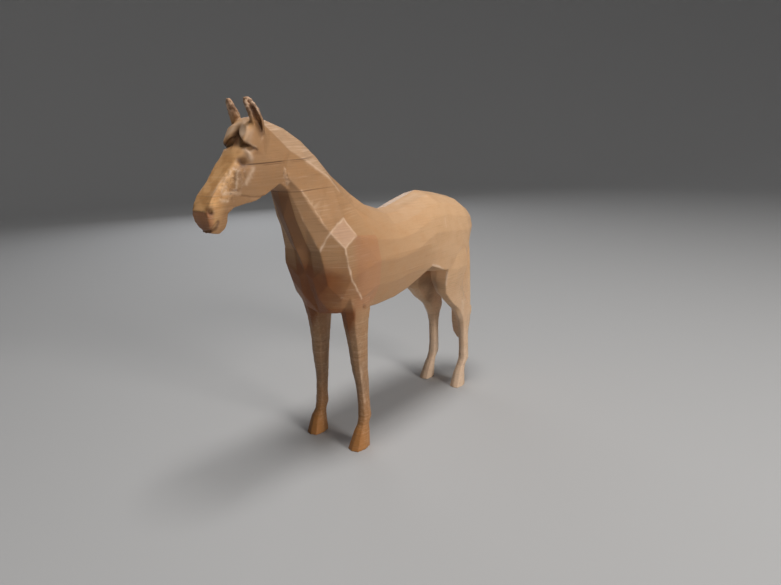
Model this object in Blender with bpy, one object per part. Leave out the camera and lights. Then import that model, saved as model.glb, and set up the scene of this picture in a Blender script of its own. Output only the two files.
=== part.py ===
# Faceted horse figure, printed in one piece and standing square on its four hooves

import math

import bmesh
import bpy

# Driving sizes, in metres
WITHERS_HEIGHT = 0.112
EAR_LENGTH = 0.0125
EAR_WALL = 0.0011
FORELOCK_THICKNESS = 0.0016
HOOF_LENGTH = 0.0106
HOOF_WIDTH = 0.0082
MOUTH_SLIT = 0.0014
NOSTRIL_WIDTH = 0.0023
NOSTRIL_DEPTH = 0.0018
EYE_WIDTH = 0.0046
EYE_DEPTH = 0.0016

# The carving is drawn on a grid on which the withers stand 112 parts above the ground.
# The head looks along -Y, its left side is +X and the ground is Z = 0.
WITHERS_PARTS = 112
PART = WITHERS_HEIGHT / WITHERS_PARTS

# Barrel sections: y at the crest, crest height, keel height, half width, how far the flank leans forward,
# and how full it stays below the widest line, from 0 on the belly to 1 on the rump
BARREL = {
    "tail head": (64, 98.6, 82, 6.6, -0.4, -0.5),
    "rump end": (60, 103, 76, 11.2, -0.8, -0.5),
    "rump": (52, 107.3, 70, 14.8, -0.8, 0.6),
    "hip": (39, 110.6, 69, 17.2, -0.6, 1),
    "croup": (24.5, 113.4, 69.5, 18.6, -3.5, 1),
    "loin": (13, 110.4, 74.5, 19.6, -3, 0.9),
    "back": (1.7, 107.8, 65.2, 20.3, 3, 0.1),
    "saddle": (-6, 107.7, 62.8, 20.5, 7, 0),
    "girth": (-17, 111.5, 61.8, 20.4, 11.5, 0),
}
# Down one flank of a barrel section: share of the half width on the belly and on the rump,
# share of the way down, share of the lean
FLANK = (
    (0, 0, 0, 0),
    (0.34, 0.4, 0.045, 0.1),
    (0.7, 0.72, 0.14, 0.5),
    (0.91, 0.9, 0.28, 0.9),
    (1, 1, 0.47, 1),
    (0.92, 1, 0.7, 0.95),
    (0.6, 0.95, 0.93, 0.45),
    (0, 0, 1, 0.3),
)

# Carved sections of the shoulder, neck and head, each from the crest or forehead down to the keel or chin
SHOULDER = (
    (0, -23, 116.2), (10.2, -31.8, 111.6), (19.5, -41, 101.6), (19.4, -48.1, 97.2), (20.2, -46, 83.5),
    (18.8, -39, 72.9), (13, -33, 66), (0, -32, 62.5),
)
BREAST = (
    (0, -35.4, 126.1), (9, -35.4, 115.9), (14.6, -43.2, 109), (14.4, -51.4, 104), (11.2, -55.1, 96.4),
    (12.4, -54.5, 89.2), (11.7, -52.2, 80.8), (15, -47.6, 73.9), (12, -45.6, 68.8), (9, -45, 66.1), (0, -43, 64),
)
NECK_ROOT = (
    (0, -43.6, 134.9), (7, -42.7, 125.9), (12.6, -55, 109.3), (8.5, -58.8, 106.7),
)
WINDPIPE = (
    (5.4, -57, 99.6), (4, -54.9, 95.4), (3.5, -54.6, 91.3), (4.2, -54.1, 83), (4.8, -52.4, 75), (7, -48.6, 68),
)
CHEST_LINE = (
    (0, -61.6, 105.6), (0, -58.9, 97.4), (0, -56.3, 91.7), (0, -54.4, 86.4), (0, -51.8, 78), (0, -47.3, 65.2),
)
NECK = (
    ((0, -51.6, 141.9), (5.9, -54, 133.8), (11.2, -58.6, 115.9), (8, -60.7, 110.7), (0, -63.7, 111)),
    ((0, -60, 147), (5.5, -62.2, 138.2), (9.6, -61.5, 122.2), (6, -64.6, 122.6), (0, -65.6, 122.4)),
)
HEAD = (
    ((0, -68.8, 150.4), (4.8, -70.6, 146.4), (7.6, -67.2, 134.5), (7.6, -68, 130), (7, -69.5, 126),
     (0, -68.5, 124.6)),
    ((0, -77, 151.6), (5.2, -76.5, 150.4), (8.4, -77, 144), (9, -77.5, 137), (9, -76, 131), (7, -76.5, 122.6),
     (0, -75.5, 124)),
    ((0, -86.2, 140.3), (5.7, -85.6, 139.8), (8.7, -84, 138.4), (9, -82.3, 133.5), (8.3, -82, 127),
     (6, -81.5, 120.4), (0, -81, 121.5)),
    ((0, -89.7, 135.7), (5.5, -89.7, 135.7), (7.4, -87.4, 135.3), (8.1, -89.5, 132.3), (7.3, -88.6, 127),
     (4.6, -86, 119.6), (0, -85.5, 120)),
    ((0, -95.6, 129.2), (4, -95.6, 129.3), (5.5, -94.8, 128.5), (5.2, -93, 126), (6, -91.5, 124),
     (3.6, -90, 118.8), (0, -89.6, 118.8)),
    ((0, -100.2, 123.9), (5.3, -100.3, 124), (5.4, -97.6, 122.6), (4.8, -95.6, 120), (3.4, -93, 116.9),
     (0, -93, 116.6)),
    ((0, -103.6, 119), (5, -103.3, 119), (5.8, -100.8, 118), (4.8, -97.4, 115.6), (3.4, -93.6, 114),
     (0, -93.6, 113.8)),
    ((0, -103, 115), (4.8, -102.6, 115), (5, -100.9, 113.8), (4.5, -98.6, 112.2), (3.2, -94.6, 111.6),
     (0, -94.6, 111.4)),
    ((0, -101.6, 110.5), (2.4, -101.2, 110.6), (3.2, -99.6, 110.2), (2.8, -97.2, 109.8), (0, -96.8, 109.6)),
)

# Leg rings: height, x, y, half width and half depth, from the body down to the sole
FORELEG = (
    (84, 11.6, -39.2, 5.4, 6.6),
    (77, 12.5, -38.8, 5.6, 7),
    (72.5, 12.8, -38.2, 5.6, 7.3),
    (66, 12.4, -36.9, 5.3, 6.6),
    (60, 12, -36.8, 4.8, 5.6),
    (54, 12.2, -36.7, 4.3, 4.8),
    (48, 12.5, -36.7, 3.9, 4.2),
    (42, 12.8, -36.8, 3.5, 3.9),
    (37, 13, -36.8, 3.2, 3.5),
    (32, 13.4, -36.4, 2.8, 3.2),
    (27, 13.7, -36.4, 2.5, 2.85),
    (20, 14.2, -36.7, 2.5, 2.7),
    (14.5, 14.4, -36.8, 2.7, 3),
    (11, 14.4, -38.2, 2.5, 2.6),
    (8, 14.6, -39.6, 3.1, 3.7),
)
HAUNCH = (
    (92, 5.6, 43, 8.6, 14),
    (84, 7.4, 43.2, 9, 15),
    (77, 8.6, 43.4, 8.8, 15),
    (71, 9.5, 43.4, 8.1, 14.4),
    (64.5, 9.2, 42.4, 6.8, 13.6),
    (58, 9.4, 42.6, 5, 11.8),
    (51, 9.9, 46.6, 4.1, 9),
)
GASKIN = (
    (45, 10.2, 51, 3.8, 6.8),
    (41.5, 10.4, 52, 3.6, 5.6),
    (38, 10.5, 52.2, 3, 3.9),
    (33, 10.5, 52.2, 2.5, 2.9),
    (27, 10.6, 52, 2.4, 2.7),
    (20, 10.6, 52, 2.4, 2.7),
    (14.5, 10.7, 51.6, 2.6, 2.9),
    (11, 10.6, 49, 2.3, 2.6),
    (8, 10.6, 47.2, 2.7, 3.1),
)
# Middle of each sole, and the share of the hoof's size that it has
SOLES = {"fore": ((14.1, -41.6), 1), "hind": ((11, 44.5), 0.86)}

# Ring outlines as shares of half width and half depth, from the front round by the outside
LEG_RING = ((0, -1), (0.8, -0.8), (1, 0.05), (0.75, 0.85), (0, 1), (-0.75, 0.85), (-1, 0.05), (-0.8, -0.8))
HAUNCH_RING = ((0, -1), (0.9, -0.95), (1, -0.3), (0.85, 0.3), (0.35, 0.7), (-0.6, 1), (-1, 0.2), (-0.7, -0.85))

# Rings of the tail and of the seat that it hangs from: height, y, half width and half depth
TAIL = (
    (99, 60.5, 2.8, 2.6),
    (93, 64, 4.4, 3),
    (84, 65.6, 5.3, 3.2),
    (68, 66, 5.7, 3.4),
    (45, 66, 5.8, 3.4),
    (32, 65.6, 5.6, 3.2),
    (25, 65.2, 4.6, 2.6),
    (21, 65, 2.2, 1.4),
)
SEAT = (
    (86, 57.4, 8, 6.8),
    (74, 59, 7.8, 6.2),
    (64, 60.6, 7, 5),
    (54, 61.8, 6, 4),
    (44, 62.8, 4.6, 3),
)
TAIL_RING = ((0, -1), (0.95, -0.85), (1, 0.3), (0.6, 0.95), (-0.6, 0.95), (-1, 0.3), (-0.95, -0.85))

# Ear rings: share of the ear's length, x, y, half width and half depth
EAR = (
    (-0.3, 5, -76.4, 2, 2.2),
    (-0.05, 5.9, -77.1, 2.5, 2.4),
    (0.3, 6.3, -77.8, 2.7, 2.4),
    (0.55, 6.3, -78.8, 2.4, 2),
    (0.78, 6, -80.1, 2, 1.5),
    (0.94, 5.5, -81, 1.5, 1.1),
    (1, 5.3, -81.4, 0.9, 0.6),
)
EAR_SETTING = {"root": 146.4, "turn": -40}
# Once round an ear: its open side lies between the last point and the first
EAR_RING = ((0.75, -0.65), (1, 0), (0.6, 0.75), (0, 1), (-0.7, 0.6), (-1, -0.1), (-0.55, -0.85), (0.15, -1))

# Forelock rows from the middle outwards: top, bend and lip of the flap
FORELOCK = (
    ((0, -76.8, 151.9), (0, -80.2, 150), (0, -82, 147.4)),
    ((3, -77, 151.8), (3.2, -81.8, 149.2), (3.2, -84.3, 145.5)),
    ((5, -77.4, 151.2), (6, -82.6, 148), (6.3, -85, 143.3)),
    ((6.2, -77.2, 149.7), (7.8, -80.9, 146), (8.3, -83.8, 142.1)),
    ((6.9, -76.6, 147.2), (8.2, -79, 143.6), (8.8, -81.4, 140.7)),
)


def clear_scene():
    for obj in list(bpy.data.objects):
        bpy.data.objects.remove(obj)


def material(name, colour, roughness):
    made = bpy.data.materials.new(name)
    made.use_nodes = True
    shader = made.node_tree.nodes["Principled BSDF"]
    shader.inputs["Base Color"].default_value = (*colour, 1)
    shader.inputs["Roughness"].default_value = roughness
    return made


def solid(name, triangles):
    """Object from triangles given as points in parts. Points at one place become one vertex."""
    mesh = bmesh.new()
    corners = {}
    for triangle in triangles:
        keys = [tuple(round(value, 4) for value in point) for point in triangle]
        if len(set(keys)) < 3:
            continue
        for key in keys:
            if key not in corners:
                corners[key] = mesh.verts.new([value * PART for value in key])
        mesh.faces.new([corners[key] for key in keys])
    bmesh.ops.recalc_face_normals(mesh, faces=mesh.faces)
    data = bpy.data.meshes.new(name)
    mesh.to_mesh(data)
    mesh.free()
    obj = bpy.data.objects.new(name, data)
    bpy.context.scene.collection.objects.link(obj)
    return obj


def distance(a, b):
    return math.dist(a, b)


def strip(first, second):
    """Triangles between two rows of points, always across the shorter diagonal."""
    triangles = []
    i = j = 0
    while i < len(first) - 1 or j < len(second) - 1:
        at_end = i == len(first) - 1
        if j == len(second) - 1 or (
            not at_end and distance(first[i + 1], second[j]) <= distance(first[i], second[j + 1])
        ):
            triangles.append((first[i], first[i + 1], second[j]))
            i += 1
        else:
            triangles.append((first[i], second[j + 1], second[j]))
            j += 1
    return triangles


def fan(ring):
    """Triangles that close a ring of points from their middle."""
    middle = tuple(sum(point[axis] for point in ring) / len(ring) for axis in range(3))
    return [(ring[i - 1], ring[i], middle) for i in range(len(ring))]


def mirrored(triangles):
    return triangles + [tuple((-x, y, z) for x, y, z in reversed(triangle)) for triangle in triangles]


def tube(rings):
    """Closed skin over a stack of rings that all have the same number of points."""
    triangles = fan(rings[0]) + fan(rings[-1])
    for upper, lower in zip(rings, rings[1:]):
        for i in range(len(upper)):
            triangles.append((upper[i - 1], upper[i], lower[i]))
            triangles.append((upper[i - 1], lower[i], lower[i - 1]))
    return triangles


def barrel_section(y, crest, keel, half_width, lean, fullness):
    return [
        (half_width * (belly + (rump - belly) * fullness), y - lean * forward, crest + (keel - crest) * down)
        for belly, rump, down, forward in FLANK
    ]


def body():
    """Barrel, shoulder, breast, neck and head in one skin."""
    sections = [barrel_section(*row) for row in BARREL.values()]
    sections.append(list(SHOULDER))
    sections.append(list(BREAST))
    throat = list(NECK_ROOT) + list(WINDPIPE) + [CHEST_LINE[-1]]
    triangles = []
    for rear, front in zip(sections, sections[1:] + [throat]):
        triangles += strip(rear, front)
    triangles += strip(list(NECK_ROOT[-1:]) + list(WINDPIPE) + [CHEST_LINE[-1]], list(CHEST_LINE))
    rings = [list(NECK_ROOT) + [CHEST_LINE[0]]] + [list(ring) for ring in NECK + HEAD]
    for rear, front in zip(rings, rings[1:]):
        triangles += strip(rear, front)
    triangles = mirrored(triangles)
    for end in (sections[0], rings[-1]):
        triangles += fan(end + [(-x, y, z) for x, y, z in reversed(end[1:-1])])
    return solid("horse", triangles)


def ring(height, x, y, half_width, half_depth, outline):
    return [(x + half_width * across, y + half_depth * along, height) for across, along in outline]


def hoof_rings(sole, share):
    x, y = sole
    half_width = share * HOOF_WIDTH / PART / 2
    half_depth = share * HOOF_LENGTH / PART / 2
    return [ring(0, x, y, half_width, half_depth, LEG_RING)]


def leg(name, upper, lower, sole, side):
    rings = [ring(*row, HAUNCH_RING) for row in upper]
    rings += [ring(*row, LEG_RING) for row in lower]
    rings += hoof_rings(*sole)
    return solid(name, tube([[(side * px, py, pz) for px, py, pz in points] for points in rings]))


def hanging(name, rings):
    """Solid on the middle line made of rings, as the tail is."""
    return solid(name, tube([ring(height, 0, y, wide, deep, TAIL_RING) for height, y, wide, deep in rings]))


def ear_ring(row, side, wall=0):
    up, x, y, wide, deep = row
    turn = math.radians(EAR_SETTING["turn"])
    points = []
    for across, along in EAR_RING:
        dx, dy = across * max(wide - wall, 0.3), along * max(deep - wall, 0.3)
        points.append((
            side * (x + dx * math.cos(turn) + dy * math.sin(turn)),
            y - dx * math.sin(turn) + dy * math.cos(turn),
            EAR_SETTING["root"] + up * EAR_LENGTH / PART,
        ))
    return points


def ear(side):
    return solid("ear", tube([ear_ring(row, side) for row in EAR]))


def ear_hollow(side):
    """Cutter for the cup of the ear: the ear itself less its wall, swept out through the open side."""
    wall = EAR_WALL / PART
    rings = []
    for row in EAR[1:-1]:
        inner = ear_ring(row, side, wall)
        rings.append([
            (px + (6 * side if front else 0), py - (3 if front else 0), pz)
            for (px, py, pz), front in zip(inner, (1, 0, 0, 0, 0, 0, 1, 1))
        ])
    return solid("ear hollow", tube(rings))


def forelock():
    """Flap that lies over the forehead, with a lobe over each eye and a notch between."""
    thick = FORELOCK_THICKNESS / PART
    rows = []
    for top, bend, lip in FORELOCK:
        x, y, z = lip
        edge = (0.99 * x, y + 0.25 * thick, z - 0.6 * thick)
        under = (0.9 * x, y + 2.2 * thick, z - 1.1 * thick)
        rows.append([top, bend, lip, edge, under, (0.6 * x, -77, z)])
    triangles = []
    for near, far in zip(rows, rows[1:]):
        for i in range(len(near)):
            triangles.append((near[i - 1], near[i], far[i]))
            triangles.append((near[i - 1], far[i], far[i - 1]))
    triangles = mirrored(triangles)
    for side in (1, -1):
        triangles += fan([(side * x, y, z) for x, y, z in rows[-1]])
    return solid("forelock", triangles)


def pit(middle, out, wide, tall, deep, side):
    """Eight-sided cutter that sinks an eye or a nostril into the head, along the direction out."""
    size = math.hypot(*out)
    ax, ay, az = (value / size for value in out)
    along = (-ay / math.hypot(ax, ay), ax / math.hypot(ax, ay), 0)
    up = (ay * along[2] - az * along[1], az * along[0] - ax * along[2], ax * along[1] - ay * along[0])
    rings = []
    for depth, share in ((2 * deep, 1.5), (0, 1), (-0.7 * deep, 0.8), (-deep, 0.4)):
        rings.append([
            tuple(
                (side if axis == 0 else 1)
                * (
                    middle[axis] + depth * (ax, ay, az)[axis]
                    + share * wide / 2 * math.cos(turn) * along[axis]
                    + share * tall / 2 * math.sin(turn) * up[axis]
                )
                for axis in range(3)
            )
            for turn in (math.tau * step / 8 for step in range(8))
        ])
    return solid("pit", tube(rings))


def mouth():
    """Thin wedge that parts the lips from below up to the corner of the mouth."""
    gap = MOUTH_SLIT / PART
    section = ((-100.8 - gap, 108.6), (-98.9, 114.2), (-100.8, 108.6))
    rows = [[(x, y, z) for y, z in section] for x in (-9, 9)]
    return solid("mouth", tube(rows))


def join(target, tool, operation):
    modifier = target.modifiers.new(operation.lower(), "BOOLEAN")
    modifier.operation = operation
    modifier.solver = "EXACT"
    modifier.object = tool
    data = bpy.data.meshes.new_from_object(target.evaluated_get(bpy.context.evaluated_depsgraph_get()))
    target.modifiers.remove(modifier)
    target.data = data
    bpy.data.objects.remove(tool)


def settle(figure):
    """Moves the figure until the middle of its outline on the ground is the origin."""
    for axis in range(3):
        values = [vertex.co[axis] for vertex in figure.data.vertices]
        shift = min(values) if axis == 2 else (min(values) + max(values)) / 2
        for vertex in figure.data.vertices:
            vertex.co[axis] -= shift


def horse():
    figure = body()
    for side in (1, -1):
        join(figure, leg("hind leg", HAUNCH, GASKIN, SOLES["hind"], side), "UNION")
        join(figure, leg("foreleg", (), FORELEG, SOLES["fore"], side), "UNION")
        shell = ear(side)
        join(shell, ear_hollow(side), "DIFFERENCE")
        join(figure, shell, "UNION")
    join(figure, hanging("seat", SEAT), "UNION")
    join(figure, hanging("tail", TAIL), "UNION")
    join(figure, forelock(), "UNION")
    nostril, nostril_depth = NOSTRIL_WIDTH / PART, NOSTRIL_DEPTH / PART
    eye, eye_depth = EYE_WIDTH / PART, EYE_DEPTH / PART
    for side in (1, -1):
        join(figure, pit((7.7, -87.7, 135.6), (1, -0.5, 0.1), eye, 0.75 * eye, eye_depth, side), "DIFFERENCE")
        join(figure, pit((5.6, -101.9, 118.9), (1, -0.5, 0.1), nostril, nostril, nostril_depth, side), "DIFFERENCE")
    join(figure, mouth(), "DIFFERENCE")
    settle(figure)
    return figure


clear_scene()
figure = horse()
figure.data.materials.clear()
figure.data.materials.append(material("printed filament", (0.56, 0.33, 0.18), 0.5))
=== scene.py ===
import math

import bpy
import numpy as np
from mathutils import Matrix, Vector, noise
from mathutils.kdtree import KDTree


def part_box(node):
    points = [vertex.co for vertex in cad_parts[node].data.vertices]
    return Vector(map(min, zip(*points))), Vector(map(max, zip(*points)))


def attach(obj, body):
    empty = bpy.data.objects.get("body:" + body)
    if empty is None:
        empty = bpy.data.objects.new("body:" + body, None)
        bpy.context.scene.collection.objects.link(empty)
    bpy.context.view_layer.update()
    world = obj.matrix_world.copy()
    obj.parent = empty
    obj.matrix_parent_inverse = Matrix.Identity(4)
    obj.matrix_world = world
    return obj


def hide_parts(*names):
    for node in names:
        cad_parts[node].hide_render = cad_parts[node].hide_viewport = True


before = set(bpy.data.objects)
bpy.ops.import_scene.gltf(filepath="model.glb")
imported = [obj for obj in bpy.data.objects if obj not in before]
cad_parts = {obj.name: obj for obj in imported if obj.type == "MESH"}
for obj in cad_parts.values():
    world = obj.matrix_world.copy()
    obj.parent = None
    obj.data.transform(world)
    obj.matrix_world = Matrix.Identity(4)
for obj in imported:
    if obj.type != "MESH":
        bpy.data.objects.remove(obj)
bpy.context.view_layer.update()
print("frame loaded")

# What a user would change about the camera, in metres, degrees and millimetres of lens
camera = {
    "place": (0.2034, -0.21542, 0.148),
    "azimuth": 40.92,
    "elevation": 15.22,
    "roll": -2.395,
    "lens": 29.0,
}

# What a user would change about the printed figure, in metres and degrees
figure = {
    "voxel": 0.00042,        # grain of the finished mesh
    "smoothing": 16,         # passes over what lies between the crisp folds
    "edgePasses": 2,         # passes over the crisp folds themselves
    "reach": 0.0009,         # how far a crisp fold keeps its surroundings from being smoothed
    "triangles": 190000,
    # A fold above this many degrees stays crisp, by the part of the body that it is on
    "crisp": {"head": 30, "nape": 45, "neck": 8, "breast": 9, "barrel": 9, "legs": 20},
    "softEye": 3.4,          # how far round an eye nothing stays crisp, in millimetres
    "softNostril": 1.9,
    "knobs": 0.00034,        # height of the lumps on the ears
    "creases": 0.00022,      # height of the wrinkles on the cheek
}

# Lines that several tables follow, in millimetres
lips = (
    (5, -81.5, 114.3), (4.8, -82.8, 113), (3.6, -83.9, 111.6), (1.6, -84.8, 110.8), (0, -85, 110.6),
)
besideNose = ((5.9, -74.4, 132.6), (5.3, -76.9, 129.5), (5.4, -78.9, 125.6))
cheekbone = ((7.8, -72.6, 132.6), (7.1, -73.1, 128.8), (6.5, -73.2, 126.6))
lipCorner = ((5.6, -75.2, 125.5), (6.7, -71.6, 125.6))
aboveCorner = ((5.3, -78, 124.7), (5.8, -74.7, 124.6), (6.2, -71.4, 124.2))
underLip = ((5.4, -80, 122.7), (5.2, -76.8, 121.4))
cheekHollow = ((8.2, -70.2, 131.6), (8, -69.8, 129.9))
elbow = ((17.9, -19.9, 68.6), (17.9, -19, 68.4))

# Ridges and hollows of the left side in millimetres, mirrored to the right: where each runs,
# how wide it is either side of its line, and how high it stands
face = {
    "brow": (((6.3, -67.3, 140.1), (7.7, -67.4, 138.7), (8.6, -66.8, 137.2)), 0.8, 0.35),
    "eyeSocket": (((6.6, -70, 135.6), (7.6, -68.4, 135.4)), 1.3, -0.5),
    "besideNose": (besideNose, 0.6, 0.3),
    "panel": (((7, -74, 131.3), (6.7, -74.6, 129), (5.8, -75, 126.4)), 0.8, -0.4),
    "cheekbone": (cheekbone, 0.4, 0.35),
    "cheekFold": (((8.2, -71.7, 132.3), (7.8, -71.1, 129.1), (7.6, -69.5, 127.3)), 0.7, 0.25),
    "cheekHollow": (cheekHollow, 0.5, -0.25),
    "lipCorner": (lipCorner, 0.4, -0.4),
    "aboveCorner": (aboveCorner, 0.5, 0.25),
    "underLip": (underLip, 0.5, 0.25),
    "jawFold": (((5.9, -69.4, 123), (6.2, -65.3, 121.9), (6.7, -61.3, 122.2)), 0.5, -0.35),
    "nostrilRim": (((4.6, -86.6, 118.2), (5.3, -85.6, 117.2), (5.4, -84, 116.8)), 0.5, 0.25),
    "throat": (((7.6, -50.6, 131.5), (6.9, -49.2, 126)), 0.7, 0.35),
    "elbow": (elbow, 0.7, -0.8),
    "hock": (((10.9, 62.5, 44.5), (10.4, 64, 39)), 1.2, 0.3),
    "mouth": (lips, 0.6, -0.9),
    "fetlockFore": (((16.2, -18.8, 16), (14.6, -18.2, 16)), 1, 0.35),
    "fetlockHind": (((12.6, 68.2, 16), (11, 68.8, 16)), 1, 0.35),
}

# Outer edges painted with a pale highlight, in millimetres: where each runs, its reach and how pale it is
edgeHighlights = {
    "plate": (
        ((14.5, -26, 109), (14.5, -34.2, 104), (19.4, -30.9, 97.2), (19.5, -23.7, 101.6), (14.5, -26, 109)),
        0.4, 0.7,
    ),
    "shoulderFront": (((14.5, -34.2, 104), (12.8, -36, 100.2), (11.2, -37.9, 96.4)), 0.45, 1),
    "shoulderSide": (((19.4, -30.9, 97.2), (20.2, -28.8, 83.5), (18.8, -21.8, 72.9)), 0.42, 0.9),
    "mane": (((5.9, -36.8, 133.8), (7, -25.5, 125.9), (8.2, -21.4, 120)), 0.8, 0.55),
    "neckStreak": (((9.5, -44, 122.4), (11.3, -39.5, 114.8), (13.8, -35.4, 106)), 0.4, 0.55),
    "neckStrip": (((7.2, -47.4, 121), (8.5, -42.6, 108.5), (10.4, -39, 99)), 0.35, 0.35),
    "stifle": (((18, 31.9, 77.5), (17.8, 38, 75.2), (15.9, 46.8, 70.5), (14.9, 47, 63.3)), 0.6, 1),
    "haunch": (((17.2, 44, 99.4), (18.2, 43.4, 95.5)), 0.5, 0.5),
    "croup": (((5.5, 37.3, 110.8), (8.5, 41, 110.5)), 0.6, 0.5),
    "loin": (((2.5, 24, 108.8), (3, 30.5, 110.3), (3.5, 38, 112)), 1.6, 0.45),
    "throat": (((7.6, -50.4, 131.2), (7.2, -49.8, 128.6), (6.8, -49, 125.6)), 0.7, 0.45),
    "brow": (((6.3, -67.3, 140.4), (7.7, -67.4, 138.9), (8.5, -66.9, 137)), 1.1, 0.8),
    "nasal": (
        ((5.9, -72.6, 134), (4.9, -76.4, 130.6), (4.3, -79.9, 127.5), (4.3, -82.5, 124.7)), 0.45, 0.55,
    ),
    "besideNose": (besideNose, 0.55, 0.8),
    "cheekbone": (cheekbone, 0.45, 0.7),
    "cheekFront": (((8.9, -66.4, 133.2), (8.4, -68, 130.3), (7.7, -69.6, 127.6)), 0.8, 0.6),
    "aboveCorner": (aboveCorner, 0.6, 0.6),
    "underLip": (underLip, 0.6, 0.6),
    "forelockRidge": (
        ((2.4, -60.4, 151.8), (4.6, -64, 150.4), (6, -65.6, 147.2), (6.6, -67.2, 143.6)), 0.5, 0.6,
    ),
    "forelockLip": (
        ((0, -64.9, 147.6), (3.2, -67.2, 145.6), (6.3, -68, 143.4), (8.3, -66.7, 142.2), (8.8, -64.2, 140.9)),
        0.5, 0.7,
    ),
    "forelockTop": (((0.8, -63.9, 149), (2.5, -65.2, 147.8), (4.5, -66.4, 146.1)), 2.2, 1),
    "earBack": (((7.4, -57.8, 149), (7.2, -59.6, 154), (6, -62.8, 158.2)), 0.9, 0.7),
    "hock": (((13.4, 64, 50), (12, 65, 40)), 1.2, 0.9),
    "foreCannon": (((15.6, -21.8, 40), (16.4, -21, 22)), 0.5, 0.4),
    "legTop": (((9.6, -29.4, 72), (15.5, -31, 75.5), (18.6, -24.6, 70)), 0.45, 0.4),
}

# Places that lie in deep shade, in millimetres: the line each follows, its reach and how dark it is.
# Above 1 the dark has a broad flat middle.
shaded = {
    "eye": (((6.3, -69.9, 136.2), (6.7, -69.6, 134.6)), 1.5, 0.88),
    "nostril": (((4.8, -84.9, 119.3), (4.6, -84.2, 118.3)), 1.35, 0.95),
    "nostrilTail": (((5.1, -84.3, 118), (4.9, -83.6, 116.2)), 0.5, 0.5),
    "mouth": (lips, 0.75, 2.4),
    "lipCorner": (lipCorner, 0.4, 0.6),
    "jawFold": (
        ((6.2, -70.6, 123.6), (5.9, -69.4, 123), (6.2, -65.3, 121.9), (6.7, -61.3, 122.2)), 0.4, 0.45,
    ),
    "cheekHollow": (cheekHollow, 0.45, 0.4),
    "underForelock": (
        ((0, -63.8, 145.8), (2.9, -66.2, 144.1), (6.1, -67, 142.2), (8.1, -65.9, 141), (8.7, -63.9, 139.8)),
        0.75, 0.95,
    ),
    "parting": (((0, -63.8, 146.8), (0, -65.4, 144.6), (0.3, -66.9, 142.9)), 2.1, 1),
    "elbow": (elbow, 0.9, 0.7),
    "earHollow": (((7, -59.8, 146.4), (6.8, -60.6, 150), (6.2, -62.2, 154.4)), 1.6, 0.8),
    "groin": (((13, 30, 74), (13, 36, 72), (12, 38, 66)), 3, 0.4),
    "innerThigh": (((8.4, 47, 63), (4.5, 54.2, 60.7), (4.4, 60.5, 59), (6.9, 60.5, 49.1)), 3.6, 0.5),
    "noseCrease": (((0, -86.4, 119), (4.4, -86, 119)), 0.35, 0.5),
    "browNotch": (((9.1, -64.6, 138.6), (9.1, -63.8, 138.4)), 0.45, 0.5),
}

# The plate on each shoulder, painted paler as a sheen: its corners as y and z in millimetres, from the top
# round by the front
plate = ((-26, 109.1), (-34.3, 104), (-30.9, 97.2), (-23.7, 101.6))

# What a user would change about the filament, and the light and shade painted on it
filamentAndPaintedLight = {
    "colour": (0.52, 0.30, 0.155),       # flank
    "rear": (0.73, 0.46, 0.26),          # hindquarters, painted paler as lit
    "front": (0.42, 0.232, 0.112),       # neck, shoulder and cheek, painted darker as shade
    "breast": (0.26, 0.085, 0.024),      # painted shade on the breast, windpipe and fronts of the forelegs
    # painted shade, darker down the forelegs
    "foreleg": (0.33, 0.195, 0.11),
    # bridge of the nose: orange, painted brighter as lit from above
    "nose": (0.88, 0.49, 0.205),
    "muzzle": (0.50, 0.17, 0.08),        # front of the nose below the nostrils, painted shade
    "orange": (0.52, 0.225, 0.065),      # hooves
    "pale": (0.82, 0.60, 0.43),          # painted highlights on edges and lit parts, and pale streaks and mottling
    # painted sheen of the shoulder plate, also laid on the ear tips
    "plate": (0.62, 0.38, 0.25),
    "deep": (0.075, 0.028, 0.012),       # seams and deep shade
    "layer": 0.00024,                    # height of one printed layer
    "band": 0.00115,                     # height of a visible band of layers
    "layerDepth": 0.00004,
    "roughness": 0.44,
    # Where the print paused: height, from where to where along the horse, half thickness and darkness
    "seams": (
        (0.1346, -0.0695, -0.028, 0.00022, 0.75), (0.1339, -0.0625, -0.030, 0.00014, 0.45),
        (0.1221, -0.0520, -0.022, 0.00018, 0.60), (0.1240, -0.0900, -0.0795, 0.00024, 0.65),
    ),
}

# Where the tones begin and end, painted light and shade among them, in metres. A pair gives both ends of a
# gradual change.
# Names in Side are measured from the middle. Names in Top, Foot, Shade and Tone, the belly's, the middle
# and low flank's, legs and ears are heights. The others lie along the horse, head to the minus.
zones = {
    "flankFront": (-0.034, -0.008),
    "rear": (-0.010, 0.055),
    "fore": (-0.036, -0.020),
    "breastTop": (0.084, 0.093), "breastFoot": (0.050, 0.066),
    "windpipeSide": 0.0052, "windpipeRear": (-0.032, -0.028),
    "windpipeTop": (0.120, 0.125), "windpipeShade": (0.088, 0.100),
    "jaw": (-0.058, -0.055),
    "stripSide": (0.0056, 0.0062), "stripRear": (-0.0325, -0.0305),
    "stripFoot": (0.0865, 0.0885), "stripTop": (0.121, 0.126),
    "forelegRear": (-0.019, -0.012), "forelegTop": (0.066, 0.070), "forelegTone": (0.030, 0.066),
    "legFront": -0.0245,
    "hindFront": (0.030, 0.040), "hindTop": (0.048, 0.064), "hindFoot": (0.020, 0.045),
    "hoofTop": (0.006, 0.030),
    "legs": (0.056, 0.070),
    "bridge": (-0.0715, -0.064), "bridgeSide": 0.0068,
    "tipRear": (-0.085, -0.083), "tipTop": 0.1188, "tipShade": (0.113, 0.1175),
    "crestSide": 0.0089, "crestFront": (-0.060, -0.056),
    "crestRear": (-0.030, -0.019), "crestFoot": (0.084, 0.088),
    "girth": -0.0095,
    "shoulderTop": 0.0981, "shoulderFront": (-0.0271, -0.0232),
    "flankMiddle": 0.0889, "flankLow": 0.0795, "flankRear": (0.025, 0.036), "belly": (0.060, 0.068),
    "plainFlank": (-0.026, -0.014), "plainBelly": (0.064, 0.072),
    "cheekRear": (-0.056, -0.050), "cheekSide": 0.006,
    "ears": (0.1505, 0.1545),
}


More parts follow.
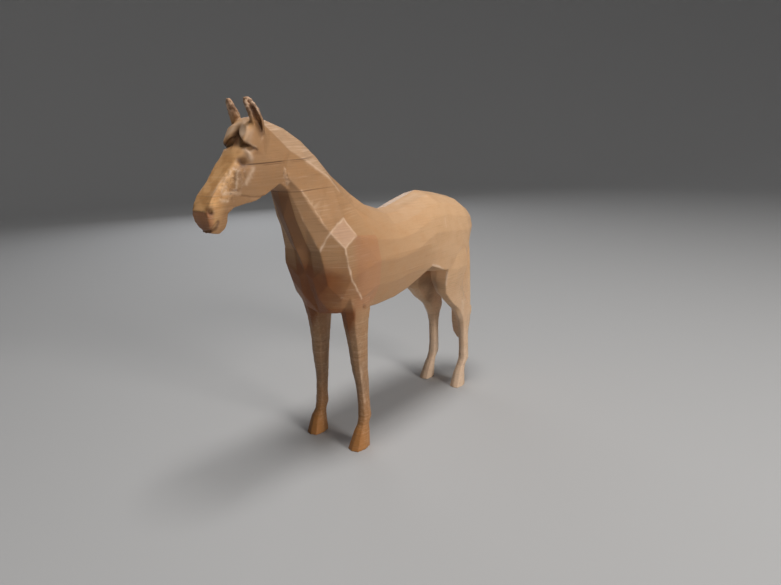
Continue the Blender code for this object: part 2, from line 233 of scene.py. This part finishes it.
# A socket that takes part in sums: each step of an expression becomes a Math node
class Signal:
    def __init__(self, tree, socket):
        self.tree, self.socket = tree, socket

    def sum(self, operation, *values):
        return self.tree.add("ShaderNodeMath", {"operation": operation}, dict(enumerate(values))).out()

    def __add__(self, other):
        return self.sum("ADD", self, other)

    def __radd__(self, other):
        return self.sum("ADD", other, self)

    def __sub__(self, other):
        return self.sum("SUBTRACT", self, other)

    def __rsub__(self, other):
        return self.sum("SUBTRACT", other, self)

    def __mul__(self, other):
        return self.sum("MULTIPLY", self, other)

    def __rmul__(self, other):
        return self.sum("MULTIPLY", other, self)

    def __truediv__(self, other):
        return self.sum("DIVIDE", self, other)

    def fraction(self):
        return self.sum("FRACT", self)

    def size(self):
        return self.sum("ABSOLUTE", self)

    def clamped(self):
        return self.tree.add("ShaderNodeClamp", {}, {0: self}).out()

    # 0 below low, 1 above high and an even slope between
    def between(self, low, high):
        return self.tree.add("ShaderNodeMapRange", {}, {0: self, 1: low, 2: high}).out()

    # 1 below a level and 0 above it, over a step this soft
    def below(self, level, soft=0.0002):
        return 1 - self.between(level - soft, level + soft)

    def fading(self, low, high):
        return 1 - self.between(low, high)


class Step:
    def __init__(self, tree, node):
        self.tree, self.node = tree, node

    def out(self, name=0):
        return Signal(self.tree, self.node.outputs[name])


# A material's node tree: one call adds a node, its settings first and its sockets after
class Finish:
    def __init__(self, name):
        self.material = bpy.data.materials.new(name)
        self.material.use_nodes = True
        self.tree = self.material.node_tree
        self.shader = self.tree.nodes["Principled BSDF"]

    def add(self, kind, settings, sockets):
        node = self.tree.nodes.new(kind)
        for key, value in settings.items():
            setattr(node, key, value)
        self.fill(node, sockets)
        return Step(self, node)

    def fill(self, node, sockets):
        for key, value in sockets.items():
            if isinstance(value, Signal):
                self.tree.links.new(value.socket, node.inputs[key])
            else:
                node.inputs[key].default_value = value

    def mix(self, factor, first, second):
        sides = {0: factor}
        for key, value in ((6, first), (7, second)):
            sides[key] = (*value, 1) if isinstance(value, tuple) else value
        return self.add("ShaderNodeMix", {"data_type": "RGBA"}, sides).out(2)

    def noise(self, place, scale, detail=2):
        sockets = {"Vector": place, "Scale": scale, "Detail": detail}
        return self.add("ShaderNodeTexNoise", {}, sockets).out("Fac")


def applied(obj):
    graph = bpy.context.evaluated_depsgraph_get()
    data = bpy.data.meshes.new_from_object(obj.evaluated_get(graph))
    obj.modifiers.clear()
    obj.data = data
    return obj


def pointsOf(mesh):
    points = np.empty(len(mesh.vertices) * 3)
    mesh.vertices.foreach_get("co", points)
    return points.reshape(-1, 3)


def normalsOf(mesh):
    normals = np.empty(len(mesh.vertices) * 3)
    mesh.vertex_normals.foreach_get("vector", normals)
    return normals.reshape(-1, 3)


def edgesOf(mesh):
    edges = np.empty(len(mesh.edges) * 2, np.int64)
    mesh.edges.foreach_get("vertices", edges)
    return edges.reshape(-1, 2)


# Welded copy of the solid's skin, to read its folds from
def carvedForm(node):
    carved = bpy.data.objects.new("carved", node.data.copy())
    bpy.context.scene.collection.objects.link(carved)
    weld = carved.modifiers.new("weld", "WELD")
    weld.merge_threshold = 1e-6
    return applied(carved)


def bodyPart(point):
    x, y, z = point
    if z < 0.062:
        return "legs"
    if y < -0.0515 and z > 0.105:
        return "head"
    if z > 0.122 and abs(x) > 0.0062:
        return "nape"
    if y > -0.0215:
        return "barrel"
    return "neck" if z > 0.1085 else "breast"


# Points along every fold of the solid that stays crisp. The eyes, nostrils and cheeks are left soft.
def foldsOf(mesh):
    normals = np.array([polygon.normal for polygon in mesh.polygons])
    owners = {}
    for polygon in mesh.polygons:
        for key in polygon.edge_keys:
            owners.setdefault(key, []).append(polygon.index)
    points = pointsOf(mesh)
    samples = []
    for (a, b), faces in owners.items():
        if len(faces) != 2:
            continue
        cosine = float(normals[faces[0]] @ normals[faces[1]])
        angle = math.degrees(math.acos(max(-1, min(1, cosine))))
        if angle < min(figure["crisp"].values()):
            continue
        length = np.linalg.norm(points[b] - points[a])
        for share in np.linspace(0, 1, max(2, int(length / 0.0004))):
            sample = points[a] + share * (points[b] - points[a])
            if angle > figure["crisp"][bodyPart(sample)]:
                samples.append(sample)
    samples = np.array(samples)
    eye = fromLine(samples, shaded["eye"][0]) / figure["softEye"]
    nostril = fromLine(samples, shaded["nostril"][0]) / figure["softNostril"]
    return samples[np.minimum(eye, nostril) > 1]


def treeOf(samples):
    tree = KDTree(len(samples))
    for index, sample in enumerate(samples):
        tree.insert(Vector(sample), index)
    tree.balance()
    return tree


def nearestFold(points, tree):
    return np.array([tree.find(point)[2] for point in points])


def smoothed(points, edges, weight, passes):
    counts = np.bincount(edges.ravel(), minlength=len(points))[:, None]
    for turn in range(passes):
        mean = np.empty_like(points)
        for axis in range(3):
            mean[:, axis] = np.bincount(edges[:, 0], points[edges[:, 1], axis], len(points))
            mean[:, axis] += np.bincount(edges[:, 1], points[edges[:, 0], axis], len(points))
        points = points + weight * (mean / counts - points)
    return points


# Distance in millimetres from each point to a line of straight pieces, on both sides of the horse alike
def fromLine(points, line):
    spots = 1000 * points
    spots[:, 0] = np.abs(spots[:, 0])
    nearest = np.full(len(points), 1e9)
    for start, end in zip(line, line[1:]):
        start, end = np.array(start, float), np.array(end, float)
        along = np.clip((spots - start) @ (end - start) / ((end - start) @ (end - start)), 0, 1)
        nearest = np.minimum(nearest, np.linalg.norm(spots - start - along[:, None] * (end - start), axis=1))
    return nearest


# Lines of a table gathered into one height at each point, each line wandering a little
def traced(points, table, limit=math.inf):
    sway = np.array([noise.noise_vector(Vector(point) * 420) for point in points]) * 0.0005
    found = np.zeros(len(points))
    for line, reach, height in table.values():
        share = height * np.exp(-((fromLine(points + sway, line) / reach) ** 2))
        found = np.where(np.abs(share) > np.abs(found), share, found)
    return np.clip(found, -limit, limit)


# How wrinkled each point is: the front of the cheek and the throat, from 0 to 1
def wrinkled(points):
    cheek = fromLine(points, ((7.4, -73.2, 131.6), (6, -76.5, 124.6))) / 3.8
    throat = fromLine(points, ((7.5, -50.3, 131), (6.8, -49, 125.6))) / 1.5
    return np.exp(-(np.minimum(cheek, throat) ** 4))


def withFace(points, normals):
    rise = traced(points, face)
    share = wrinkled(points)
    for index in np.nonzero(share > 0.02)[0]:
        crease = noise.noise(Vector(points[index]) * 750)
        rise[index] += 1000 * figure["creases"] * share[index] * crease
    return points + 0.001 * rise[:, None] * normals


# Lumpy ears: small rounded knobs that grow towards the tips
def withKnobs(points, normals):
    share = np.clip((points[:, 2] - 0.1505) / 0.004, 0, 1)
    lumps = np.zeros(len(points))
    for index in np.nonzero(share)[0]:
        spot = Vector(points[index])
        lumps[index] = 0.6 + noise.noise(spot * 800) + 0.6 * noise.noise(spot * 1600)
    return points + figure["knobs"] * (share * lumps)[:, None] * normals


# 1 inside the painted sheen of the shoulder's plate, falling to 0 just outside its edges
def plateSheen(points):
    spots = 1000 * points
    inside = np.full(len(points), 1e9)
    for (y1, z1), (y2, z2) in zip(plate, plate[1:] + plate[:1]):
        length = math.hypot(y2 - y1, z2 - z1)
        across = (y2 - y1) * (spots[:, 2] - z1) - (z2 - z1) * (spots[:, 1] - y1)
        inside = np.minimum(inside, across / length)
    return np.clip(0.5 + inside / 0.5, 0, 1) * (np.abs(spots[:, 0]) > 12)


def note(mesh, name, values):
    attribute = mesh.attributes.new(name, "FLOAT", "POINT")
    attribute.data.foreach_set("value", np.asarray(values, np.float32))


# The printed figure: the solid's own form, rounded between its crisp folds, with the face carved into it
def printedHorse(node):
    carved = carvedForm(node)
    samples = foldsOf(carved.data)
    folds = treeOf(samples)
    low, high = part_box("horse")
    print("folds read:", len(samples))

    skin = bpy.data.objects.new("printedHorse", carved.data.copy())
    bpy.context.scene.collection.objects.link(skin)
    remesh = skin.modifiers.new("grain", "REMESH")
    remesh.mode = "VOXEL"
    remesh.voxel_size = figure["voxel"]
    applied(skin)
    points, edges = pointsOf(skin.data), edgesOf(skin.data)
    print("remeshed:", len(points), "points")
    away = nearestFold(points, folds)
    free = np.clip((away - 0.4 * figure["reach"]) / figure["reach"], 0, 1)[:, None]
    points = smoothed(points, edges, 0.5 * free, figure["smoothing"])
    points = smoothed(points, edges, 0.5 * np.ones_like(free), figure["edgePasses"])
    skin.data.vertices.foreach_set("co", points.ravel())
    skin.data.update()
    normals = normalsOf(skin.data)
    points = withKnobs(withFace(points, normals), normals)
    points = np.clip(points, np.array(low), np.array(high))
    skin.data.vertices.foreach_set("co", points.ravel())
    skin.data.update()
    print("smoothed and carved")

    count = 2 * len(skin.data.polygons)
    if count > figure["triangles"]:
        thin = skin.modifiers.new("thin", "DECIMATE")
        thin.ratio = figure["triangles"] / count
        applied(skin)
    print("thinned:", len(skin.data.polygons), "faces")
    points = pointsOf(skin.data)
    # Painted deep shade along the shaded lines, and painted highlights along the listed edges, kept off that
    # shade
    dark = traced(points, shaded, 1)
    note(skin.data, "ridgeHighlight", traced(points, edgeHighlights) * (1 - dark))
    note(skin.data, "dark", dark)
    note(skin.data, "wrinkled", wrinkled(points))
    note(skin.data, "plate", plateSheen(points))
    note(skin.data, "upward", normalsOf(skin.data)[:, 2])
    for polygon in skin.data.polygons:
        polygon.use_smooth = True
    bpy.data.objects.remove(carved)
    return skin


def printedFilamentAndPaintedLight():
    finish = Finish("printedFilamentAndPaintedLight")
    add, mix, noiseOf = finish.add, finish.mix, finish.noise
    place = add("ShaderNodeTexCoord", {}, {}).out("Object")
    parts = add("ShaderNodeSeparateXYZ", {}, {0: place})
    side, length, height = parts.out("X").size(), parts.out("Y"), parts.out("Z")
    marks = {}
    for name in ("ridgeHighlight", "dark", "wrinkled", "plate", "upward"):
        marks[name] = add("ShaderNodeAttribute", {"attribute_name": name}, {}).out("Fac")

    # Printed layers: a rounded bead each, short streaks where a layer stands out, and broader bands
    sway = noiseOf(place, 60) - 0.5
    bead = (height / filamentAndPaintedLight["layer"] + 0.5 * sway).fraction() - 0.5
    bead = 1 - 4 * bead * bead
    drawn = add("ShaderNodeVectorMath", {"operation": "MULTIPLY"}, {0: place, 1: (70, 70, 1500)}).out()
    streak = noiseOf(drawn, 1, 2)
    bands = height / filamentAndPaintedLight["band"] + 0.35 * sway
    edge = ((bands.fraction() - 0.5).size() * 2).fading(0.55, 0.95)
    cloud = noiseOf(place, 45, 4)
    patch = noiseOf(place, 190, 3)
    speck = noiseOf(place, 900, 3)

    # Where on the horse, from 0 to 1: the rear painted paler as lit; the neck, breast and lower flank painted
    # darker and redder as shade; nose and fore hooves orange, the nose also painted brighter as lit
    spread = 0.012 * (cloud - 0.5)
    along = length + spread
    fore = along.fading(*zones["fore"])
    breast = fore * (height + spread).fading(*zones["breastTop"]) * height.between(*zones["breastFoot"])
    windpipe = side.below(zones["windpipeSide"]) * length.fading(*zones["windpipeRear"])
    windpipe = windpipe * height.fading(*zones["windpipeTop"]) * length.between(*zones["jaw"])
    foreleg = length.fading(*zones["forelegRear"])
    legFront = foreleg * length.below(zones["legFront"], 0.0006) * height.fading(*zones["forelegTop"])
    hoof = height.fading(*zones["hoofTop"])
    bridge = (length - 0.6 * (height - 0.14)).fading(*zones["bridge"])
    bridge = bridge * side.below(zones["bridgeSide"], 0.0006)
    strip = side.between(*zones["stripSide"]) * length.fading(*zones["stripRear"])
    strip = strip * height.between(*zones["stripFoot"]) * height.fading(*zones["stripTop"])
    hind = height.fading(*zones["hindTop"]) * length.between(*zones["hindFront"])
    tip = length.fading(*zones["tipRear"]) * height.below(zones["tipTop"])
    crest = (side - 0.078 * length).below(zones["crestSide"]) * length.between(*zones["crestFront"])
    crest = crest * length.fading(*zones["crestRear"]) * (height + length).between(*zones["crestFoot"])
    ahead = (length + 0.04 * spread).below(zones["girth"])
    shoulder = ahead * (height + 0.145 * length).below(zones["shoulderTop"])
    shoulder = shoulder * length.between(*zones["shoulderFront"])
    # Painted shade on the lower flank, below its middle and low folds
    lowerFlankShade = 0.3 * height.below(zones["flankMiddle"]) + 0.15 * height.below(zones["flankLow"])
    lowerFlankShade = lowerFlankShade * (1 - ahead) * length.fading(*zones["flankRear"]) * height.between(*zones["belly"])
    # Where the painted shade of the front goes
    frontShade = breast + windpipe * (1 - 0.6 * height.between(0.085, 0.09)) + 0.95 * legFront

    # Tones laid one over another: how much of each, and which
    # The front half painted darker as shade, blending into the flank's colour
    colour = mix(along.between(*zones["flankFront"]), filamentAndPaintedLight["front"], filamentAndPaintedLight["colour"])
    for share, tone in (
        # Painted light: the hindquarters paler
        (along.between(*zones["rear"]), "rear"),
        # Painted light on a strip down the front of the neck, the top of the crest and the hind legs
        (0.5 * strip, "colour"),
        (0.3 * crest + 0.3 * hind + 0.6 * hind * height.fading(*zones["hindFoot"]), "pale"),
        # Painted shade on the lower shoulder
        (0.3 * shoulder * height.between(*zones["forelegTop"]), "muzzle"),
        (lowerFlankShade, "front"),
        # Painted shade on the breast, windpipe and fronts of the forelegs
        (frontShade.clamped(), "breast"),
        # Painted shade down the forelegs
        (0.75 * height.fading(*zones["forelegTone"]) * foreleg * (1 - 0.7 * legFront), "foreleg"),
        (0.85 * hoof * foreleg, "orange"),
        # The bridge of the nose painted brighter as lit
        (0.8 * bridge, "nose"),
        (0.45 * bridge * patch.between(0.46, 0.6), "orange"),
        # Painted shade on the front of the nose tip, deepest low down
        (0.6 * tip, "muzzle"),
        (0.5 * tip * height.fading(*zones["tipShade"]), "deep"),
        # Painted sheen on the shoulder plate
        (0.6 * marks["plate"], "plate"),
        (0.2 * patch.between(0.45, 0.75), "orange"),
        # Painted light on upward-facing surfaces
        (0.1 * marks["upward"].between(0.72, 0.95), "pale"),
    ):
        colour = mix(share, colour, filamentAndPaintedLight[tone])

    # Layers show most on the head, plate and legs, and hardly on the flanks and the breast
    flank = length.between(*zones["plainFlank"]) * height.between(*zones["plainBelly"])
    cheek = length.fading(*zones["cheekRear"]) * (1 - side.below(zones["cheekSide"]))
    clear = (0.35 + 0.65 * cloud.between(0.42, 0.6)) * (1 - 0.6 * flank) * (1 - 0.5 * cheek)
    clear = clear * (1 - 0.85 * (breast + windpipe).clamped())
    lines = 0.2 * streak.fading(0.30, 0.42) + 0.07 * (1 - edge) + 0.07 * (1 - bead)
    legs = height.fading(*zones["legs"])
    peel = noiseOf(place, 760, 2)
    crumple = noiseOf(place, 620, 3)
    for share, tone in (
        (0.22 * clear * streak.between(0.56, 0.70), "pale"),
        # Painted deeper shade low on the windpipe
        (0.4 * windpipe * height.between(*zones["windpipeShade"]), "deep"),
        (clear * lines + 0.08 * speck.between(0.55, 0.8), "deep"),
        # Painted highlights along the edges
        (0.8 * (marks["ridgeHighlight"] * (0.2 + 1.5 * patch)).clamped(), "pale"),
        (0.3 * crest * streak.between(0.5, 0.62), "pale"),
        (0.16 * legs * (1 - 0.7 * legFront) * peel.between(0.54, 0.68), "pale"),
        (0.12 * legs * peel.fading(0.32, 0.44), "deep"),
        (0.5 * marks["wrinkled"] * crumple.between(0.54, 0.66), "pale"),
        (0.35 * marks["wrinkled"] * crumple.fading(0.34, 0.44), "deep"),
    ):
        colour = mix(share, colour, filamentAndPaintedLight[tone])
    for level, first, last, reach, strength in filamentAndPaintedLight["seams"]:
        seam = (height - level + 0.0004 * sway).size().fading(0.4 * reach, 1.6 * reach)
        seam = seam * length.between(first, first + 0.002) * length.fading(last - 0.012, last)
        colour = mix(seam * strength * cloud.between(0.3, 0.5), colour, filamentAndPaintedLight["deep"])
    # Ear tips are tinted and blotched pale, and painted dark as shade where they face down. Last comes the
    # painted deep shade
    blotch = noiseOf(place, 520, 2).between(0.42, 0.62)
    ears = height.between(*zones["ears"])
    for share, tone in (
        (0.7 * ears, "plate"),
        (0.55 * ears * blotch, "pale"),
        (0.6 * ears * (1 - blotch) * marks["upward"].fading(0.1, 0.7), "deep"),
        (0.93 * marks["dark"], "deep"),
    ):
        colour = mix(share, colour, filamentAndPaintedLight[tone])

    bump = (1 - 0.5 * flank) * bead + 0.5 * clear * edge + 0.4 * speck + legs * peel
    relief = {"Strength": 1.0, "Distance": filamentAndPaintedLight["layerDepth"], "Height": bump}
    normal = add("ShaderNodeBump", {}, relief).out()
    rough = filamentAndPaintedLight["roughness"] + 0.12 * (cloud - 0.5) - 0.1 * marks["ridgeHighlight"] - 0.06 * marks["plate"]
    finish.fill(finish.shader, {"Base Color": colour, "Roughness": rough, "Normal": normal})
    finish.fill(finish.shader, {"Specular IOR Level": 0.35, "IOR": 1.46})
    return finish.material


# What a user would change about the stage and its light, in metres and watts
studio = {
    "flat": 1.1,             # reach of the level floor
    "cove": 0.7,             # radius of the curve that carries the floor up into the wall
    "wall": 0.5,             # height of the wall above the curve
    "paint": (0.50, 0.50, 0.505),
    "sky": 0.05,
    "top": {"place": (0.10, 0.02, 0.95), "size": 0.32, "watts": 4.9, "tint": (1, 0.985, 0.96)},
    "side": {"place": (0.78, -0.03, 0.34), "size": 0.26, "watts": 3.4, "tint": (1, 0.97, 0.93)},
    "rim": {"place": (-0.65, 0.45, 0.35), "size": 0.50, "watts": 0.9, "tint": (0.95, 0.97, 1)},
}


# Round cove: a level disc that curves up into a low wall, so no horizon shows from any side
def plainFloor():
    profile = [(studio["flat"] * share, 0) for share in (0.25, 0.5, 0.75)]
    for turn in np.linspace(0, math.pi / 2, 17):
        out = studio["flat"] + studio["cove"] * math.sin(turn)
        profile.append((out, studio["cove"] * (1 - math.cos(turn))))
    profile.append((profile[-1][0], profile[-1][1] + studio["wall"]))
    around = 96
    points, faces = [(0, 0, 0)], []
    for out, high in profile:
        for step in range(around):
            turn = 2 * math.pi * step / around
            points.append((out * math.cos(turn), out * math.sin(turn), high))
    for step in range(around):
        after = (step + 1) % around
        faces.append((0, 1 + step, 1 + after))
        for row in range(len(profile) - 1):
            inner, outer = 1 + row * around, 1 + (row + 1) * around
            faces.append((inner + step, outer + step, outer + after, inner + after))
    data = bpy.data.meshes.new("floor")
    data.from_pydata(points, [], faces)
    for polygon in data.polygons:
        polygon.use_smooth = True
    floor = bpy.data.objects.new("floor", data)
    bpy.context.scene.collection.objects.link(floor)
    finish = Finish("floorPaint")
    finish.fill(finish.shader, {"Base Color": (*studio["paint"], 1), "Roughness": 0.75})
    data.materials.append(finish.material)


def softBox(name, place, size, watts, tint):
    data = bpy.data.lights.new(name, "AREA")
    data.shape, data.size, data.energy, data.color = "DISK", size, watts, tint
    lamp = bpy.data.objects.new(name, data)
    lamp.location = place
    lamp.rotation_euler = (Vector((0, 0, 0.08)) - Vector(place)).to_track_quat("-Z", "Y").to_euler()
    bpy.context.scene.collection.objects.link(lamp)


def studioLight():
    world = bpy.data.worlds.new("studio")
    world.use_nodes = True
    backdrop = world.node_tree.nodes["Background"]
    backdrop.inputs["Color"].default_value = (0.93, 0.96, 1, 1)
    backdrop.inputs["Strength"].default_value = studio["sky"]
    bpy.context.scene.world = world
    bpy.context.scene.view_settings.view_transform = "Standard"
    for name in ("top", "side", "rim"):
        softBox(name, **studio[name])


def photoCamera():
    turn, lift, roll = (math.radians(camera[key]) for key in ("azimuth", "elevation", "roll"))
    back = Vector((math.sin(turn) * math.cos(lift), -math.cos(turn) * math.cos(lift), math.sin(lift)))
    right = Vector((math.cos(turn), math.sin(turn), 0))
    up = back.cross(right)
    tiltedRight = math.cos(roll) * right + math.sin(roll) * up
    tiltedUp = math.cos(roll) * up - math.sin(roll) * right
    data = bpy.data.cameras.new("camera")
    data.lens, data.sensor_width, data.sensor_fit = camera["lens"], 36, "HORIZONTAL"
    data.clip_start, data.clip_end = 0.01, 20
    lookout = bpy.data.objects.new("camera", data)
    axes = Matrix((tiltedRight, tiltedUp, back)).transposed().to_4x4()
    lookout.matrix_world = Matrix.Translation(camera["place"]) @ axes
    bpy.context.scene.collection.objects.link(lookout)
    bpy.context.scene.camera = lookout


horse = printedHorse(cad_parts["horse"])
horse.data.materials.clear()
horse.data.materials.append(printedFilamentAndPaintedLight())
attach(horse, "root")
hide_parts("horse")
print("figure made")

plainFloor()
studioLight()
photoCamera()
print("stage, light and camera set")
